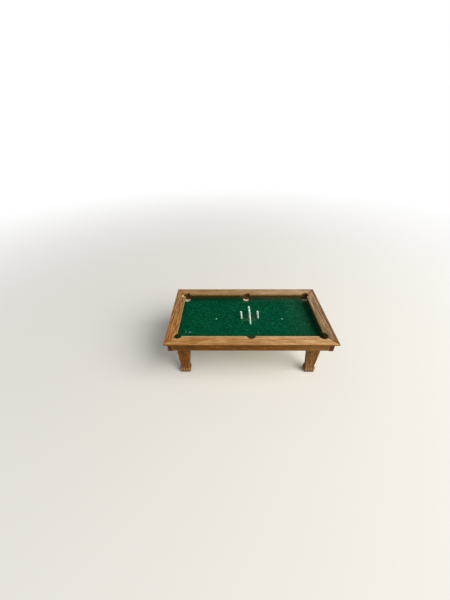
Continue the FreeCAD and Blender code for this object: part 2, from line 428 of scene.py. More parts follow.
# %% [markdown]
# ## Wear and specks
# A worn edge is never an even line: the band is wide where fingers reach and gone where they don't. The
# wear group turns a distance into a broken band. The speck group scatters small spots, for dust, lint or
# chips, and leaves most of its cells empty so that the spots don't form a pattern.

# %% Groups: wear band and specks
wear_band, given, result = new_group(
    "wear_band", {"Distance": 1.0, "Width": 0.5, "Breakup": 0.5}, ("Mask",)
)
tree = wear_band
patchy = between(tree, cloud(tree, given["Vector"], 260.0, 3.0, 0.6), 0.35, 0.65)
fine = cloud(tree, given["Vector"], 1500.0, 2.0, 0.6)
reach = times(tree, given["Width"], maths(tree, "ADD", fine, 0.5))
band = fades(tree, given["Distance"], 0.0, reach)
kept = maths(tree, "SUBTRACT", 1.0, times(tree, given["Breakup"], patchy))
feed(tree, result["Mask"], times(tree, band, kept))

speck_group, given, result = new_group(
    "specks", {"Cells": 400.0, "Size": 0.2, "Share": 0.2}, ("Mask",)
)
tree = speck_group
cells = add(tree, "TexVoronoi", Vector=given["Vector"], Scale=given["Cells"]).outputs
chance = split(tree, cells["Color"])
kept = maths(tree, "LESS_THAN", chance["X"], given["Share"])
size = times(tree, given["Size"], maths(tree, "ADD", chance["Y"], 0.4))
dot = fades(tree, cells["Distance"], times(tree, size, 0.5), size)
feed(tree, result["Mask"], times(tree, dot, kept))


def specks(tree, place, cells, size, share):
    """Small spots: cells to a metre, their size in a cell, and the share of the cells that have one."""
    return place_group(tree, speck_group, place, Cells=cells, Size=size, Share=share)["Mask"]


print("groups", wear_band.name, "and", speck_group.name)

# %% [markdown]
# ## Stained oak
# One function finishes every stained board and leg, because they came from one plank and one tin of stain.
# It places the grain group with this board's own direction, cut and colours. The stain sinks deeper into end
# grain, so the ends are darker. The wax is a little rougher over pores and smoother on worn edges.

# %% Material: stained oak
GRAIN_ALONG = {"x": (0, 0, 0), "y": (0, 0, -math.pi / 2), "z": (0, math.pi / 2, 0)}
# This brown colours the oak's pores, and also paints shade on the legs' side faces.
PORE_AND_SHADE_BROWN = "3A1E04"
END_STAIN = "4A2200"
# This dark brown draws the glue joints, and also paints shade under the rails.
JOINT_AND_SHADE_DARK = "1E1206"
PALE_DUST = "CDBFA8"
WAX_GLOSS = 0.12


def in_log(tree, place, along, log):
    """A place as the log has it: X along the grain, and the heart log millimetres away."""
    heart = [v * MM for v in log]
    return add(tree, "Mapping", Vector=place, Location=heart, Rotation=GRAIN_ALONG[along]).outputs[0]


def oak(name, along, log, light, dark, wear, rings=2.6, waver=0.8, streaks=0.8, worn="D9A96A"):
    """Stained oak. wear(tree, place, grain, body) lays this board's own stains and dirt on the body colour,
    and gives back a mask of what is rubbed, and the new body."""
    material, tree, shader = new_material(name, Specular_IOR_Level=WAX_GLOSS)
    place = own_place(tree)
    board = in_log(tree, place, along, log)
    grain = place_group(tree, oak_grain, board, Ring_Spacing=rings, Waver=waver)
    mottle = cloud(tree, vectors(tree, "MULTIPLY", board, (30, 120, 120)), 1.0, 3.0, 0.55)
    body = coats(tree, light, [
        (grain["Streaks"], streaks, dark),
        (grain["Fibres"], 0.55, dark),
        (grain["Rings"], 0.45, dark),
        (grain["Flecks"], 0.30, worn),
        (between(tree, mottle, 0.38, 0.72), 0.35, dark),
        (grain["Pores"], 0.75, PORE_AND_SHADE_BROWN),
        (between(tree, faces_along(tree, along.upper()), 0.75, 0.95), 0.50, END_STAIN),
    ])
    rubbed, body = wear(tree, place, grain, body)
    dust = specks(tree, place, 420.0, 0.10, 0.10)
    body = coats(tree, body, [(rubbed, 0.7, worn), (dust, 0.35, PALE_DUST)])
    rough = maths(tree, "ADD", 0.50, times(tree, grain["Pores"], 0.25))
    rough = maths(tree, "SUBTRACT", rough, times(tree, rubbed, 0.08))
    height = maths(tree, "SUBTRACT", times(tree, grain["Fibres"], 0.35), grain["Pores"])
    surface(tree, shader, body, rough, height, 0.35, 0.08)
    return material


def dress(node_name, material):
    """Give a carried-over solid its finish."""
    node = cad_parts[node_name]
    if not node.material_slots:
        node.data.materials.append(material)
    for slot in node.material_slots:
        slot.material = material


print("grain can run along", sorted(GRAIN_ALONG))

# %% [markdown]
# ## The four top rails
# Each rail is a flat board with its own cut of the log, so no two have the same bands, and the left one took
# the stain a shade redder. The stain is darkest on the outer upright faces and in the pockets' bores, and
# the bores of the front middle and front right pockets are darker still, with a dark rim: dirt and painted
# shade.
# The two ends of a board have aged differently, dust and green fluff have settled along the inner edges, and
# the back left pocket's rim has a pale spot. Most of this is measured from the board's own box. The mitred
# ends are left out of the edge distance: a glued joint doesn't wear, it only shows as a dark line.

# %% Rails
INNER_BAND = 3.0
PALE_RIM_SPOT = Vector((-90.0, 38.6, 72.0)) * MM
PALE_RIM_SPOT_COLOUR = "F8D6B0"
UPRIGHT_STAIN = ("925A0C", "5A3200")
BORE_STAIN = "6A4012"
# The darker colour of the front pockets' bores and rims: dirt and painted shade.
DARK_BORE_AND_SHADE = "2A1806"
AGE_REACH = {"x": 100 * MM, "y": 45 * MM}
FRONT_FADES = (-30 * MM, -20 * MM)
LEFT_FADES = (-70 * MM, -50 * MM)


def upright_faces(tree):
    """1 on faces that stand upright, 0 on level ones."""
    return fades(tree, faces_along(tree, "Z"), 0.25, 0.80)


def rail_wear(node_name, along, border, far_end, near_end, dust, fluff, thick, lip=0.0):
    """border is how dark the outer edge is; far_end and near_end multiply the colour at the two ends;
    dust and fluff are the colours of what settled along the inner edge at those ends, and thick is how
    much there is; lip is how wide the dark rim of dirt and painted shade at a front pocket is."""
    low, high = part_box(node_name)
    far = Vector((1, 0, 0)) if along == "x" else Vector((0, 1, 0))
    axis = "Y" if along == "x" else "X"
    inner, outer = sorted(abs(getattr(corner, axis.lower())) / MM for corner in (low, high))

    def masks(tree, place, grain, body):
        here = split(tree, place)
        flat = split(tree, vectors(tree, "ABSOLUTE", place))
        from_middle = times(tree, flat[axis], 1000)
        steep = upright_faces(tree)
        ends = between(tree, here[along.upper()], -AGE_REACH[along], AGE_REACH[along])
        body = tint(tree, 1.0, body, tint(tree, ends, near_end, far_end), "MULTIPLY")

        band = fades(tree, from_middle, inner, inner + INNER_BAND)
        patchy = between(tree, cloud(tree, place, 420.0, 3.0, 0.6), 0.30, 0.70, 0.5, 1.0)
        brink = fades(tree, from_middle, inner + 0.2, inner + 1.3)
        body = coats(tree, body, [
            (between(tree, from_middle, outer - 3.6, outer - 2.6), border, "4A3018"),
            (times(tree, band, patchy), thick, tint(tree, ends, fluff, dust)),
            (brink, 0.7 * thick, "4E5A30"),
        ])

        rim = place_group(tree, pocket_distance, place)["Distance"]
        bore = fades(tree, rim, 0.05, 0.30)
        front = between(tree, here["Y"], *FRONT_FADES, 1.0 if lip else 0.0, 0.0)
        front = times(tree, front, between(tree, here["X"], *LEFT_FADES))
        # The dark rim at the front middle and front right pockets: dirt and painted shade.
        front_rim_dirt_and_shade = times(tree, between(tree, rim, 0.3, 0.4 + lip, 0.85, 0.0), front)
        outside = between(tree, from_middle, inner + 0.2, outer - 0.6)
        stained = times(tree, steep, maths(tree, "SUBTRACT", outside, bore, clamp=True))

        off = maths(tree, "SUBTRACT", flat["X"], flat["Y"])
        off = maths(tree, "ABSOLUTE", maths(tree, "SUBTRACT", off, cad_high.x - cad_high.y))
        gap = between(tree, here["X"], -1 * MM, 1 * MM, 0.40, 0.95)
        joint = fades(tree, times(tree, off, 1000), 0.10, gap)
        # A pale spot on the rim of the back left pocket.
        pale_rim_spot = fades(tree, apart(tree, place, PALE_RIM_SPOT), 1.2 * MM, 2.8 * MM)
        body = coats(tree, body, [
            # Bores: the oak's bore stain, and in the front middle and front right pockets a darker colour of
            # dirt and painted shade.
            (times(tree, steep, bore), 0.85, tint(tree, front, BORE_STAIN, DARK_BORE_AND_SHADE)),
            (front_rim_dirt_and_shade, 1.0, DARK_BORE_AND_SHADE),
            (stained, 0.92, tint(tree, grain["Fibres"], *UPRIGHT_STAIN)),
            (joint, 0.9, JOINT_AND_SHADE_DARK),
            (pale_rim_spot, 0.9, PALE_RIM_SPOT_COLOUR),
        ])

        edge = place_group(tree, edge_distance, place, Low=low - far, High=high + far)["Distance"]
        near = maths(tree, "MINIMUM", edge, rim)
        rubbed = place_group(tree, wear_band, place, Distance=near, Width=0.9, Breakup=0.75)["Mask"]
        bare = maths(tree, "SUBTRACT", 1.0, maths(tree, "MAXIMUM", stained, front_rim_dirt_and_shade))
        return times(tree, rubbed, bare), body

    return masks


# The grain's direction, the cut of the log, light and dark stain, the numbers for oak and for rail_wear.
RAILS = {
    "rail_front": (
        "x", (7, 31, -64), "F6D098", "A06C3C", (2.6, 0.6, 0.85),
        (0.0, "FFFFFF", "E6D6BA", "DCCCAE", "B4B484", 0.85, 1.1),
    ),
    "rail_back": (
        "x", (131, -9, -71), "DCBC9A", "8E6C46", (2.2, 0.6, 0.8),
        (0.25, "FFFFFF", "E6D8BE", "7C5C30", "7C5C30", 0.6),
    ),
    "rail_left": (
        "y", (-40, 26, -88), "E2A262", "704016", (2.6, 0.6, 0.9),
        (0.12, "E4F2F8", "FFF8EC", "A09868", "A09868", 0.75),
    ),
    "rail_right": (
        "y", (63, -17, -95), "D2B08C", "583E22", (3.2, 0.4, 0.75),
        (0.5, "FFFFFF", "EEE4DC", "866C4C", "866C4C", 0.6, 2.0),
    ),
}
for name, (along, log, light, dark, cut, age) in RAILS.items():
    dress(name, oak(name + "_oak", along, log, light, dark, rail_wear(name, along, *age), *cut))
print("dressed", ", ".join(RAILS))

# %% [markdown]
# ## The box walls
# The walls are the same oak under a darker stain. The side walls run the full width, so their dark end grain
# shows as a small block at each front corner, beside the front wall's pale worn edge. Each wall's top edge,
# under its rail, is darkened as the joint line and painted shadow of the rail's overhang. Inside the box,
# the upright faces turn from the brown stain near the top to a dull green towards the cloth: painted green
# light thrown up by the cloth, and painted shade. Round the pockets' bores the wood is stained darker,
# except on the right wall, where a pale brown spreads furthest and paints light into that shaded corner.

# %% Walls
INSIDE_STAIN = "80603A"
# Green for the lower inside faces, darker on the left and paler on the right: painted light thrown up by the
# cloth, and painted shade.
INSIDE_BOUNCE_GREEN = ("2A4A2C", "525C38")
RIGHT_RISES = (-20 * MM, 40 * MM)


def wall_wear(node_name, bore_colour, bore_reach, pale_end):
    """The colour in and round the pocket bores, and how far it spreads in millimetres: a dark stain on most
    walls, and on the right wall a pale brown that paints light into its shaded corner. pale_end is how pale
    the right end has gone."""
    low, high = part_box(node_name)

    def masks(tree, place, grain, body):
        here = split(tree, place)
        under_rail = times(tree, maths(tree, "SUBTRACT", high.z, here["Z"]), 1000)
        from_middle = split(tree, vectors(tree, "ABSOLUTE", place))
        inside = upright_faces(tree)
        for axis, reach in (("X", cad_high.x), ("Y", cad_high.y)):
            within = fades(tree, from_middle[axis], reach - 8 * MM, reach - 6 * MM)
            inside = times(tree, inside, within)
        # Inside faces go from the brown stain near the top to green towards the cloth: painted green bounce
        # light and painted shade.
        fluff = tint(tree, between(tree, here["X"], *RIGHT_RISES), *INSIDE_BOUNCE_GREEN)
        bounce_and_shade = tint(tree, fades(tree, under_rail, 1.0, 7.0), fluff, INSIDE_STAIN)
        rim = place_group(tree, pocket_distance, place)["Distance"]
        body = coats(tree, body, [
            # The top 1.4 mm of each wall, under its rail: the joint line and painted shadow of the rail's
            # overhang.
            (fades(tree, under_rail, 0.2, 1.4), 0.6, JOINT_AND_SHADE_DARK),
            (between(tree, here["X"], 10 * MM, 90 * MM), pale_end, "B08450"),
            (inside, 0.85, bounce_and_shade),
            # Round the bores: a dark stain, but on the right wall a pale brown, spread 11 mm, that paints
            # light into the shaded corner.
            (times(tree, inside, fades(tree, rim, 0.3, bore_reach)), 0.85, bore_colour),
        ])
        edge = place_group(tree, edge_distance, place, Low=low, High=high)["Distance"]
        rubbed = place_group(tree, wear_band, place, Distance=edge, Width=0.6, Breakup=0.8)["Mask"]
        return rubbed, body

    return masks


WALLS = {
    "wall_front": ("x", (22, 44, -40), "905A12", "4E2C00", ("6A4420", 1.6, 0.25)),
    "wall_back": ("x", (-95, 52, -37), "8A541A", "4A2A06", ("62401E", 1.6, 0.0)),
    "wall_left": ("y", (15, 61, -34), "804A10", "442200", ("6A4420", 1.6, 0.0)),
    "wall_right": ("y", (-33, 49, -46), "82501A", "462604", ("C08A58", 11.0, 0.0)),
}
for name, (along, log, light, dark, age) in WALLS.items():
    dress(name, oak(name + "_oak", along, log, light, dark, wall_wear(name, *age), worn="B4823F"))
print("dressed", ", ".join(WALLS))

# %% [markdown]
# ## Bed board and dowels
# The bed is a plain pale board. Only its underside and the small round floors of the pockets show. It was
# never stained, so the grain is faint, and the pocket floors carry a little dust and green fluff. The dowels
# inside the legs are the same pale wood.

# %% Bed and dowels
def bare_wood(name, along, log, light, dark):
    """Unstained close-grained wood with faint fibres, dust and handling marks."""
    material, tree, shader = new_material(name)
    place = own_place(tree)
    board = in_log(tree, place, along, log)
    grain = place_group(tree, oak_grain, board, Ring_Spacing=4.5, Waver=2.0, Pore_Size=0.14)
    body = coats(tree, light, [
        (grain["Fibres"], 0.6, dark),
        (grain["Rings"], 0.3, dark),
        (between(tree, cloud(tree, place, 60.0, 3.0), 0.45, 0.75), 0.35, "7C7A62"),
        (specks(tree, place, 900.0, 0.3, 0.12), 0.5, "55705A"),
    ])
    rough = maths(tree, "ADD", 0.62, times(tree, grain["Fibres"], 0.15))
    height = maths(tree, "SUBTRACT", grain["Fibres"], grain["Pores"])
    surface(tree, shader, body, rough, height, 0.3, 0.05)
    return material


dress("bed_board", bare_wood("bare_bed", "x", (12, 35, -20), "E2DEC4", "B4B094"))
dress("leg_dowels", bare_wood("bare_dowel", "z", (5, 22, 14), "D8C8A0", "B49B70"))
print("dressed bed_board and leg_dowels")

# %% [markdown]
# ## Meshes from rings
# The legs, pegs and spots are built from rings of points, stacked and joined as a potter coils a pot.
# A ring is a closed loop with the same number of points as its neighbour, so the faces between them are
# neat quads, and values such as wear can be stored point by point for the material to read.

# %% Ring builder
def ring_mesh(name, rings, marks):
    """A closed mesh through rings of points, capped at both ends, with named values on its points."""
    form = bmesh.new()
    loops = [[form.verts.new(point) for point in ring] for ring in rings]
    count = len(loops[0])
    for lower, upper in zip(loops, loops[1:]):
        for i in range(count):
            j = (i + 1) % count
            form.faces.new((lower[i], lower[j], upper[j], upper[i]))
    form.faces.new(loops[0][::-1])
    form.faces.new(loops[-1])
    bmesh.ops.recalc_face_normals(form, faces=form.faces)
    mesh = mesh_from(name, form)
    for label, values in marks.items():
        layer = mesh.attributes.new(label, "FLOAT", "POINT")
        layer.data.foreach_set("value", values)
    for polygon in mesh.polygons:
        polygon.use_smooth = True
    return mesh


def circle(count):
    """The cosine and sine of count even steps round a circle."""
    return [(math.cos(a), math.sin(a)) for a in (2 * math.pi * i / count for i in range(count))]


def stored(tree, label):
    """A value that was stored on the mesh's own points."""
    return add(tree, "Attribute", {"attribute_name": label}).outputs["Fac"]


def new_piece(name, mesh, material, body, replaced):
    """Put a mesh in the scene as a piece that rides on a body and stands for a solid."""
    piece = in_scene(name, mesh)
    mesh.materials.append(material)
    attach(piece, body)
    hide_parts(replaced)
    return piece


def through(points, at):
    """A smooth curve through (place, value) pairs, read at one place."""
    if at <= points[0][0]:
        return points[0][1]
    for (a, va), (b, vb) in zip(points, points[1:]):
        if at <= b:
            t = (at - a) / (b - a)
            t = t * t * (3 - 2 * t)
            return va + (vb - va) * t
    return points[-1][1]


print("ring builder ready")

# %% [markdown]
# ## The legs
# A leg is a flat tapered board that ends in a lion's paw: four toes with a knuckle and a claw each, grooves
# between them, and a rounded heel. It is described by curves over its height, in millimetres: how wide it
# is, how deep, and how far the toes reach. The carver's knife leaves a slight waver, made with noise.

# %% Leg shape
ANKLE = 12.0
KNEE = 36.0
LEG_TOP = 58.0
ANKLE_WIDTH = 12.2
KNEE_WIDTH = 16.4
TOP_WIDTH = 16.8
PAW_WIDTH = ((0, 13.3), (0.5, 13.6), (3.0, 14.3), (7.5, 13.9), (10.0, 12.7), (ANKLE, ANKLE_WIDTH))
PAW_SHIFT = ((7.5, 0.8), (ANKLE, 0.3))
LEG_DEPTH = (
    (0, 7.7), (0.5, 8.0), (3.0, 8.4), (7.5, 8.2), (9.6, 7.0), (ANKLE, 6.4), (KNEE, 6.8), (LEG_TOP, 7.0)
)
TOE_REACH = (
    (0, 1.2), (0.5, 1.45), (1.6, 1.62), (3.2, 1.5), (4.6, 1.72),
    (6.4, 1.98), (7.6, 1.72), (8.6, 1.0), (9.8, 0.45), (13.0, 0.0),
)
TOE_HALF = ((0, 1.4), (2.2, 1.55), (5.5, 1.85), (8.0, 1.65), (10.0, 1.3))
TOE_CENTRES = (-4.95, -1.65, 1.65, 4.95)
TOES_END = 13.0
CORNER_ROUND = 0.8
SHANK_MIDDLE = 3.2
SOLE_MIDDLE = 3.6
SOLE_SHARE = 0.62
SOLE_LIFT = 0.35
WAVER = 0.07
KNIFE_MARKS = 0.035
DOWEL_HOLE_RADIUS = 1.65
DOWEL_HOLE_DEPTH = 5.0


def leg_span(z):
    """Width at this height, and how far its middle stands outside the shank's."""
    if z < ANKLE:
        return through(PAW_WIDTH, z), through(PAW_SHIFT, z)
    if z > KNEE:
        return KNEE_WIDTH + (TOP_WIDTH - KNEE_WIDTH) * (z - KNEE) / (LEG_TOP - KNEE), 0.0
    rise = (z - ANKLE) / (KNEE - ANKLE)
    return ANKLE_WIDTH + (KNEE_WIDTH - ANKLE_WIDTH) * (1 - (1 - rise) ** 1.15), 0.3 * (1 - rise)


def leg_outline(width, depth):
    """Points round a rectangle with round corners, front side first, with how rubbed each is."""
    points = []
    half, r = width / 2, CORNER_ROUND

    def run(x0, y0, x1, y1, steps):
        for i in range(steps):
            t = i / steps
            points.append((x0 + (x1 - x0) * t, y0 + (y1 - y0) * t, 0.0))

    def turn(cx, cy, start, steps=5):
        for i in range(steps):
            a = start + math.pi / 2 * i / steps
            rub = math.sin(math.pi * (i + 0.5) / steps)
            points.append((cx + r * math.cos(a), cy + r * math.sin(a), rub))

    run(-half + r, 0, half - r, 0, 40)
    turn(half - r, r, -math.pi / 2)
    run(half, r, half, depth - r, 8)
    turn(half - r, depth - r, 0)
    run(half - r, depth, -half + r, depth, 16)
    turn(-half + r, depth - r, math.pi / 2)
    run(-half, depth - r, -half, r, 8)
    turn(-half + r, r, math.pi)
    return points


def toe_swell(x, z):
    """How far the toes stand out in front at this place, and how deep in a groove it lies."""
    reach, half = through(TOE_REACH, z), through(TOE_HALF, z)
    lobe = max(max(0.0, 1 - ((x - c) / half) ** 2) for c in TOE_CENTRES) ** 0.5
    return reach * (0.25 + 0.75 * lobe), (1 - lobe) * min(1.0, reach)


def leg_rings(seed, out):
    """The rings of one leg from the sole up, closer together over the paw, with their wear, a painted
    highlight on the knuckles, and dirt with painted shade in the hollows.
    """
    heights = [0.0, 0.25] + [0.5 + 0.3 * i for i in range(40)]
    heights += [12.6 + (LEG_TOP - 12.6) * i / 46 for i in range(47)]
    rings, rubbed, hollow_dirt_and_shade = [], [], []

    def keep(ring, wear=0.0, groove=0.0):
        """Add a ring; its wear and its dirt and shade are one value for all of it, or a list with one for
        each point.
        """
        rings.append([Vector(p) for p in ring])
        for values, new in ((rubbed, wear), (hollow_dirt_and_shade, groove)):
            values.extend(new if isinstance(new, list) else [new] * len(ring))

    for z in heights:
        width, shift = leg_span(z)
        outline = leg_outline(width, through(LEG_DEPTH, z))
        if z == 0.0:
            sole = [
                (out * shift + x * SOLE_SHARE, SOLE_MIDDLE + (y - SOLE_MIDDLE) * SOLE_SHARE, SOLE_LIFT)
                for x, y, _ in outline
            ]
            keep(sole, groove=0.4)
        ring, wear, groove = [], [], []
        for x, y, corner in outline:
            swell, deep = 0.0, 0.0
            if y < CORNER_ROUND and z < TOES_END:
                swell, deep = toe_swell(x, z)
                swell *= 1 - y / CORNER_ROUND
            waver = noise.noise(Vector((x * 0.35, y * 0.35 + seed, z * 0.12))) * WAVER
            knife = noise.noise(Vector((x * 1.4, y * 1.4, z * 0.5 + seed))) * KNIFE_MARKS
            squeeze = 1 - (0.012 + abs(waver + knife) * 0.16)
            x, y = x * squeeze, (y - SHANK_MIDDLE) * squeeze + SHANK_MIDDLE - swell
            ring.append((out * shift + x, y, z))
            # Knuckles that stand out count as rubbed: real wear, and a painted highlight where the toes
            # catch the light.
            knuckle_wear_and_highlight = max(0.0, min(1.0, (swell - 1.35) / 0.4))
            wear.append(min(1.0, corner * 0.9 + knuckle_wear_and_highlight))
            groove.append(deep)
        keep(ring, wear, groove)
    top = rings[-1]
    dowel = Vector((0, 3.5, LEG_TOP))
    for share in (0.7, 0.35):
        keep([p.lerp(dowel, 1 - share) for p in top])
    for z in (LEG_TOP, LEG_TOP - DOWEL_HOLE_DEPTH):
        hole = []
        for p in top:
            d = Vector((p.x - dowel.x, p.y - dowel.y)).normalized() * DOWEL_HOLE_RADIUS
            hole.append((dowel.x + d.x, dowel.y + d.y, z))
        keep(hole, groove=1.0)
    return rings, {"rubbed": rubbed, "hollow_dirt_and_shade": hollow_dirt_and_shade}


def leg_wear(tree, place, grain, body):
    """The wear, the knuckles' painted highlight, and the dirt and painted shade of the hollows, stored on
    the leg's own points, with the wear broken up by noise; a paler paw; and painted shade on the side faces.
    """
    near = times(tree, maths(tree, "SUBTRACT", 1.0, stored(tree, "rubbed")), 1.2)
    band = place_group(tree, wear_band, place, Distance=near, Width=0.9, Breakup=0.6)["Mask"]
    body = coats(tree, body, [
        (fades(tree, split(tree, place)["Z"], 6 * MM, 12 * MM), 0.24, "D2A87C"),
        # The side faces are darker: painted shade.
        (between(tree, faces_along(tree, "X"), 0.45, 0.85), 0.6, PORE_AND_SHADE_BROWN),
        # Grooves between the toes, the sole and the dowel hole: dirt and painted shade.
        (stored(tree, "hollow_dirt_and_shade"), 0.70, "241204"),
    ])
    return band, body


LEGS = {
    "leg_front_left": ((3, 17, 40), "A86418", "482400"),
    "leg_front_right": ((21, -30, 33), "AA7434", "4C2C0C"),
    "leg_back_left": ((-14, 25, -38), "A06424", "50300C"),
    "leg_back_right": ((31, 12, -44), "A46C2C", "52320E"),
}
for order, (name, (log, light, dark)) in enumerate(LEGS.items()):
    low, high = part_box(name)
    facing = -1 if low.y < 0 else 1
    hand = -1 if low.x < 0 else 1
    centre_x = (low.x + high.x) / 2
    front_y = low.y + 2.0 * MM if facing < 0 else high.y - 2.0 * MM
    rings, marks = leg_rings(seed=11.7 * (order + 1), out=-hand * facing)
    turned = -facing * MM
    placed = [[(centre_x + turned * p.x, front_y + turned * p.y, p.z * MM) for p in ring] for ring in rings]
    finish = oak(name + "_oak", "z", log, light, dark, leg_wear, 2.0, waver=0.3, streaks=0.85, worn="BE8E58")
    piece = new_piece(name + "_carved", ring_mesh(name, placed, marks), finish, "table", name)
    print(piece.name, len(piece.data.vertices), "points")

# %% [markdown]
# ## The pegs
# Five short lengths of thin dowel, dipped in pale paint, whose green cast is painted light thrown up by the
# green cloth. Each is turned like a candle: a list of radius and height, spun round its own axis, then
# tilted as its hole is. The paint is streaky, has a few chips, and is dirty in a ring where it meets the
# cloth.

# %% Peg shape and paint
PEG_LEAN = math.radians(6.5)
PEG_RADIUS = 1.25
PEG_LOW = -3.0
PEG_CHAMFER = 0.3
PEG_TIP_ROUND = 0.8
PEG_SIDES = 40
PEG_DENTS = 0.035
cloth_low, cloth_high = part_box("cloth")
CLOTH_TOP = cloth_high.z / MM


def peg_profile(stand):
    """(radius, height) pairs from the lower end to the tip."""
    straight_from, straight_to = PEG_LOW + PEG_CHAMFER, stand - PEG_TIP_ROUND
    tip = PEG_TIP_ROUND - 0.01
    pairs = [(PEG_RADIUS - PEG_CHAMFER, PEG_LOW), (PEG_RADIUS - 0.02, straight_from)]
    length = straight_to - straight_from
    pairs += [(PEG_RADIUS - 0.01, straight_from + length * i / 24) for i in range(1, 24)]
    for i in range(9):
        a = math.pi / 2 * i / 8
        pairs.append((PEG_RADIUS - PEG_TIP_ROUND + tip * math.cos(a), straight_to + tip * math.sin(a)))
    pairs.append((0.2, stand - 0.005))
    return pairs


def peg_mesh(name, foot, stand, seed):
    """One leaning peg whose foot point lies at cloth level."""
    lean = Matrix.Rotation(-PEG_LEAN, 3, "Y")
    rings, grime = [], []
    for radius, height in peg_profile(stand):
        ring = []
        for c, s in circle(PEG_SIDES):
            dent = noise.noise(Vector((c, s, height * 0.5 + seed))) * PEG_DENTS
            r = radius - (abs(dent) if height > 0.4 else 0.0)
            ring.append((foot + lean @ Vector((r * c, r * s, height))) * MM)
            grime.append(max(0.0, 1 - abs(height) / 0.8))
        rings.append(ring)
    return ring_mesh(name, rings, {"grime": grime})


peg_paint, tree, shader = new_material("peg_paint")
place = own_place(tree)
drag = cloud(tree, vectors(tree, "MULTIPLY", place, (1400, 1400, 120)), 1.0, 3.0)
chips = specks(tree, place, 1100.0, 0.3, 0.07)
# The green cast of these whites is painted light thrown up by the green cloth.
body = coats(tree, "E6FFF0", [
    (between(tree, drag, 0.35, 0.7), 1.0, "DEFFEA"),
    (between(tree, cloud(tree, place, 500.0, 3.0), 0.5, 0.72), 0.15, "CFE2CC"),
    (stored(tree, "grime"), 0.55, "6F7A5E"),
    (chips, 0.7, "B08E5E"),
])
rough = between(tree, drag, 0.2, 0.8, 0.38, 0.55)
surface(tree, shader, body, rough, maths(tree, "SUBTRACT", drag, chips), 0.35, 0.05)

peg_feet = {}
for order, name in enumerate(("peg_middle", "peg_left", "peg_right", "peg_front", "peg_back")):
    low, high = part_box(name)
    foot_x = high.x / MM - PEG_RADIUS * math.cos(PEG_LEAN) + (PEG_LOW + PEG_CHAMFER) * math.sin(PEG_LEAN)
    foot = Vector((foot_x, (low.y + high.y) / 2 / MM, CLOTH_TOP))
    stand = (high.z / MM - CLOTH_TOP) / math.cos(PEG_LEAN) - 0.06
    peg_feet[name] = foot
    new_piece(name + "_turned", peg_mesh(name, foot, stand, 3.1 * order), peg_paint, name, name)
print("pegs at", {name: tuple(round(v, 1) for v in foot[:2]) for name, foot in peg_feet.items()})

# %% [markdown]
# ## The spots
# Two paper dots are stuck on the cloth. A punched dot is never quite round, and its rim lifts where the glue
# has let go, so the rim is nudged by noise and the middle sits lower.

# %% Spot shape and paper
def spot_mesh(name, low, high, seed):
    """One dot that fills a box, from rings of which each is a share of its radius and of its thickness."""
    centre, radius = (low + high) / 2, (high.x - low.x) / 2
    thick = high.z - low.z
    rings = []
    stack = ((0.3, 0.0), (1.0, 0.0), (1.0, 0.7), (0.97, 0.95), (0.85, 0.75), (0.5, 0.6), (0.15, 0.55))
    for share, level in stack:
        ring = []
        for c, s in circle(36):
            ragged = 1 - abs(noise.noise(Vector((c * 2, s * 2, seed)))) * 0.10
            lift = 1 - 0.25 * abs(noise.noise(Vector((c, s, seed + 5)))) * (level > 0)
            r = radius * share * ragged
            ring.append((centre.x + r * c, centre.y + r * s, low.z + thick * level * lift))
        rings.append(ring)
    return ring_mesh(name, rings, {})


spot_paper, tree, shader = new_material("spot_paper")
place = own_place(tree)
pulp = cloud(tree, place, 2600.0, 4.0, 0.7)
body = coats(tree, "92D2AE", [
    (between(tree, pulp, 0.3, 0.7), 1.0, "6CAA8A"),
    (between(tree, cloud(tree, place, 700.0), 0.45, 0.7), 0.5, "64907A"),
])
surface(tree, shader, body, between(tree, pulp, 0.2, 0.8, 0.7, 0.9), pulp, 0.4, 0.03)

for order, name in enumerate(("spot_left", "spot_right")):
    low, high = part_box(name)
    dot = spot_mesh(name, low, high, 2.0 + order)
    new_piece(name + "_dot", dot, spot_paper, "table", name)
print("two spots,", round((high.x - low.x) / MM, 2), "mm across")

# %% [markdown]
# ## The cloth
# The bed is covered with a thin napped cloth that is glued flat, cut out a little small round the pockets,
# so that it laps over their front edge, and punched at the pegs. A cloth simulation has nothing to do here,
# because the glue holds every point, so the sheet is laid out: its outline with the cut-outs, filled
# with evenly spread points that are joined into triangles. Each point then rises or sinks a few hundredths
# of a millimetre where glue and nap are uneven.

# %% Cloth shape
POINT_STEP = 1.3
POINT_NUDGE = 0.22
EDGE_MARGIN = 0.4
CUT_MARGIN = 0.35
ARC_STEPS = 28
PEG_HOLE_RADIUS = 1.3
SINKS = 0.07
RIPPLES = 0.05
NAP_HEIGHT = 0.04
NUDGE_SEED = 1
end_x, edge_y = cloth_high.x / MM, cloth_high.y / MM
BACK_CUTS = [(-85.3, 43.3, 4.8), (0.9, 44.0, 4.2), (86.4, 43.5, 4.0)]
FRONT_CUTS = [(-85.6, 43.4, 4.6), (1.0, 43.8, 4.3), (85.2, 43.2, 4.8)]
CUTS = {1: BACK_CUTS, -1: FRONT_CUTS}
holes = [(foot.x, foot.y) for foot in peg_feet.values()]


def in_cut(x, y, margin=0.0):
    """True inside a pocket or a peg hole."""
    cuts = CUTS[1 if y > 0 else -1]
    if any(math.hypot(x - cx, abs(y) - cy) < radius + margin for cx, cy, radius in cuts):
        return True
    return any(math.hypot(x - cx, y - cy) < PEG_HOLE_RADIUS + margin for cx, cy in holes)


def cloth_outline():
    """The sheet's edge as one loop, dipping round each pocket where the bore crosses it."""
    loop = []
    for side, travel in ((-1, 1), (1, -1)):
        loop.append((-travel * end_x, side * edge_y))
        for cx, cy, radius in CUTS[side][::travel]:
            start = math.acos((edge_y - cy) / radius)
            for i in range(ARC_STEPS + 1):
                a = start + 2 * (math.pi - start) * i / ARC_STEPS
                loop.append((cx - travel * radius * math.sin(a), side * (cy + radius * math.cos(a))))
        loop.append((travel * end_x, side * edge_y))
    return loop


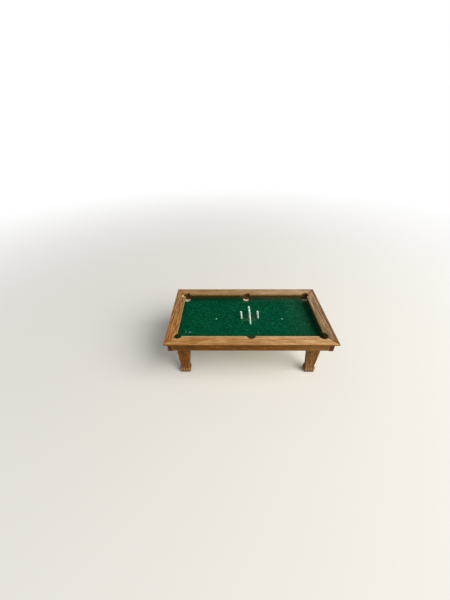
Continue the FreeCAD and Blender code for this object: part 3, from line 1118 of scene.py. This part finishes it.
def cloth_points():
    """Evenly spread points inside the sheet, each nudged a little, kept clear of the cuts. Without its seed
    noise_vector would start from the clock, and the nudges would change in every run."""
    noise.seed_set(NUDGE_SEED)
    inside = []
    rows = int(2 * edge_y / (POINT_STEP * 0.866))
    columns = int(2 * end_x / POINT_STEP)
    for row in range(1, rows):
        y = -edge_y + 2 * edge_y * row / rows
        for column in range(1, columns):
            x = -end_x + 2 * end_x * (column + 0.5 * (row % 2)) / columns
            nudge = noise.noise_vector(Vector((x, y, 0.5))) * POINT_NUDGE
            px, py = x + nudge.x, y + nudge.y
            clear = abs(px) < end_x - EDGE_MARGIN and abs(py) < edge_y - EDGE_MARGIN
            if clear and not in_cut(px, py, CUT_MARGIN):
                inside.append((px, py))
    return inside


def loop_edges(first, count):
    """The edges that join count points into a closed loop."""
    return [(first + i, first + (i + 1) % count) for i in range(count)]


outline = cloth_outline()
flat_points = list(outline)
cut_edges = loop_edges(0, len(outline))
for cx, cy in holes:
    cut_edges += loop_edges(len(flat_points), ARC_STEPS)
    for c, s in circle(ARC_STEPS):
        flat_points.append((cx + PEG_HOLE_RADIUS * 1.02 * c, cy + PEG_HOLE_RADIUS * s))
flat_points += cloth_points()
points, _, triangles, _, _, _ = geometry.delaunay_2d_cdt(
    [Vector(p) for p in flat_points], cut_edges, [], 1, 1e-5
)
kept = []
for triangle in triangles:
    middle = sum((points[i] for i in triangle), Vector((0, 0))) / 3
    if not in_cut(middle.x, middle.y, -0.02):
        kept.append(triangle)

form = bmesh.new()
tops, bottoms = [], []
for p in points:
    ripple = noise.noise(Vector((p.x * 0.16, p.y * 0.16, 1.0))) * RIPPLES
    nap = noise.noise(Vector((p.x * 0.9, p.y * 0.9, 7.0))) * NAP_HEIGHT
    tops.append(form.verts.new((p.x * MM, p.y * MM, (CLOTH_TOP - SINKS + ripple + nap) * MM)))
    bottoms.append(form.verts.new((p.x * MM, p.y * MM, cloth_low.z)))
for a, b, c in kept:
    form.faces.new((tops[a], tops[b], tops[c]))
    form.faces.new((bottoms[c], bottoms[b], bottoms[a]))
index_of = {v: i for i, v in enumerate(tops)}
rim_edges = [e for e in form.edges if len(e.link_faces) == 1 and e.verts[0] in index_of]
for edge in rim_edges:
    a, b = (index_of[v] for v in edge.verts)
    form.faces.new((tops[a], tops[b], bottoms[b], bottoms[a]))
loose = [v for v in form.verts if not v.link_faces]
bmesh.ops.delete(form, geom=loose, context="VERTS")
bmesh.ops.recalc_face_normals(form, faces=form.faces)
top_area = sum(f.calc_area() for f in form.faces if f.calc_center_median().z > cloth_low.z + 0.3 * MM)
cloth_mesh = mesh_from("cloth_sheet", form)
for polygon in cloth_mesh.polygons:
    polygon.use_smooth = polygon.normal.z > 0.7
print("cloth:", len(cloth_mesh.polygons), "faces,", round(top_area / MM**2), "square mm on top")

# %% [markdown]
# ## The cloth's finish
# Billiard cloth is wool, woven and then napped: from near, short green fibres over a faint weave. The colour
# comes from two greens mixed by fine noise, the weave from two crossed sets of threads, and the rest is what
# years leave on it and where shade falls: grey dust towards one end, dirt with painted shade along the side
# and back edges and at the pocket mouths, a dark band where the cloth first shows past the front rail, a
# rubbed patch round the pegs, pale lint, and two scuffs near the front corners. The edge and mouth marks
# are paler on the right half, which lifts the right rail's shade as painted light.

# %% Cloth material
SCUFFS = ((-76.0, -23.4), (68.8, -16.8))
THREADS = 14000

cloth_wool, tree, shader = new_material(
    "cloth_wool",
    Specular_IOR_Level=0.02,
    Sheen_Weight=0.02,
    Sheen_Roughness=0.5,
    Sheen_Tint=paint("3C8C66"),
)
place = own_place(tree)
nap = cloud(tree, place, 2400.0, 4.0, 0.7)
tuft = cloud(tree, place, 760.0, 2.0, 0.6)
body = coats(tree, "002617", [
    (between(tree, tuft, 0.38, 0.62), 1.0, "005436"),
    (specks(tree, place, 760.0, 0.9, 0.30), 0.55, "0C7A50"),
    (between(tree, nap, 0.3, 0.7), 0.35, "00402A"),
    (between(tree, cloud(tree, place, 38.0), 0.45, 0.75), 0.30, "08563A"),
])

here = split(tree, place)
from_middle = split(tree, vectors(tree, "ABSOLUTE", place))
from_end = maths(tree, "SUBTRACT", end_x, times(tree, from_middle["X"], 1000))
from_back = maths(tree, "SUBTRACT", edge_y, times(tree, here["Y"], 1000))
from_front = maths(tree, "ADD", edge_y, times(tree, here["Y"], 1000))
right_half = between(tree, here["X"], *RIGHT_RISES)
dusty = between(tree, here["X"], 40 * MM, 80 * MM, 0.02, 0.24)
by_pegs = fades(tree, apart(tree, place, peg_feet["peg_middle"] * MM), 3 * MM, 13 * MM)
blotch = between(tree, cloud(tree, place, 240.0, 3.0, 0.6), 0.42, 0.62)
back_shade_share = maths(tree, "ADD", 0.45, times(tree, right_half, 0.08))
mouth = place_group(tree, pocket_distance, place)["Distance"]
mouth = fades(tree, mouth, 0.8, between(tree, here["Y"], *FRONT_FADES, 6.5, 2.6))
mouth_share = between(tree, here["Y"], -34 * MM, -26 * MM, 0.85, 0.45)
lint_share = between(tree, here["X"], -60 * MM, 20 * MM, 0.35, 0.75)
body = coats(tree, body, [
    (dusty, between(tree, tuft, 0.3, 0.7, 0.6, 1.0), "344E3E"),
    (times(tree, by_pegs, blotch), 0.65, "4A5E45"),
    # Along the side ends: dirt and painted shade under the rails; paler on the right, as painted light in
    # the rail's shade.
    (fades(tree, from_end, 2.0, 4.2), 0.8, tint(tree, right_half, "1C2A0C", "566034")),
    # Along the back edge: painted shade under the back rail, with some dust; paler on the right, as painted
    # light.
    (fades(tree, from_back, 2.0, 10.0), back_shade_share, tint(tree, right_half, "0E3420", "385240")),
    # A dark band 12 to 20 mm behind the front edge, where the cloth first shows past the front rail.
    (fades(tree, from_front, 12.0, 20.0), 0.4, "2C3C0C"),
    # At the pocket mouths: dirt and painted shade; paler on the right, as painted light in the rail's shade.
    (mouth, mouth_share, tint(tree, right_half, "2A340E", "62562E")),
    (specks(tree, place, 360.0, 0.20, 0.30), lint_share, "52A880"),
])

strokes = vectors(tree, "MULTIPLY", place, (1.0, 0.45, 1.0))
marks = specks(tree, strokes, 620.0, 0.45, 0.4)
for scuff_x, scuff_y in SCUFFS:
    off = apart(tree, place, (scuff_x * MM, scuff_y * MM, cloth_high.z))
    near = fades(tree, off, 2.5 * MM, 6.5 * MM)
    body = coats(tree, body, [(times(tree, near, marks), 0.5, "86B498")])

threads = split(tree, vectors(tree, "MULTIPLY", place, (THREADS, THREADS, 0)))
weave = times(tree, maths(tree, "SINE", threads["X"]), maths(tree, "SINE", threads["Y"]))
height = maths(tree, "ADD", nap, times(tree, weave, 0.15))
height = maths(tree, "ADD", height, times(tree, tuft, 0.8))
surface(tree, shader, body, between(tree, nap, 0.2, 0.8, 0.85, 1.0), height, 0.6, 0.12)

cloth = new_piece("cloth_sheet", cloth_mesh, cloth_wool, "table", "cloth")
print("cloth cut", round(2 * end_x, 1), "by", round(2 * edge_y, 1), "mm")
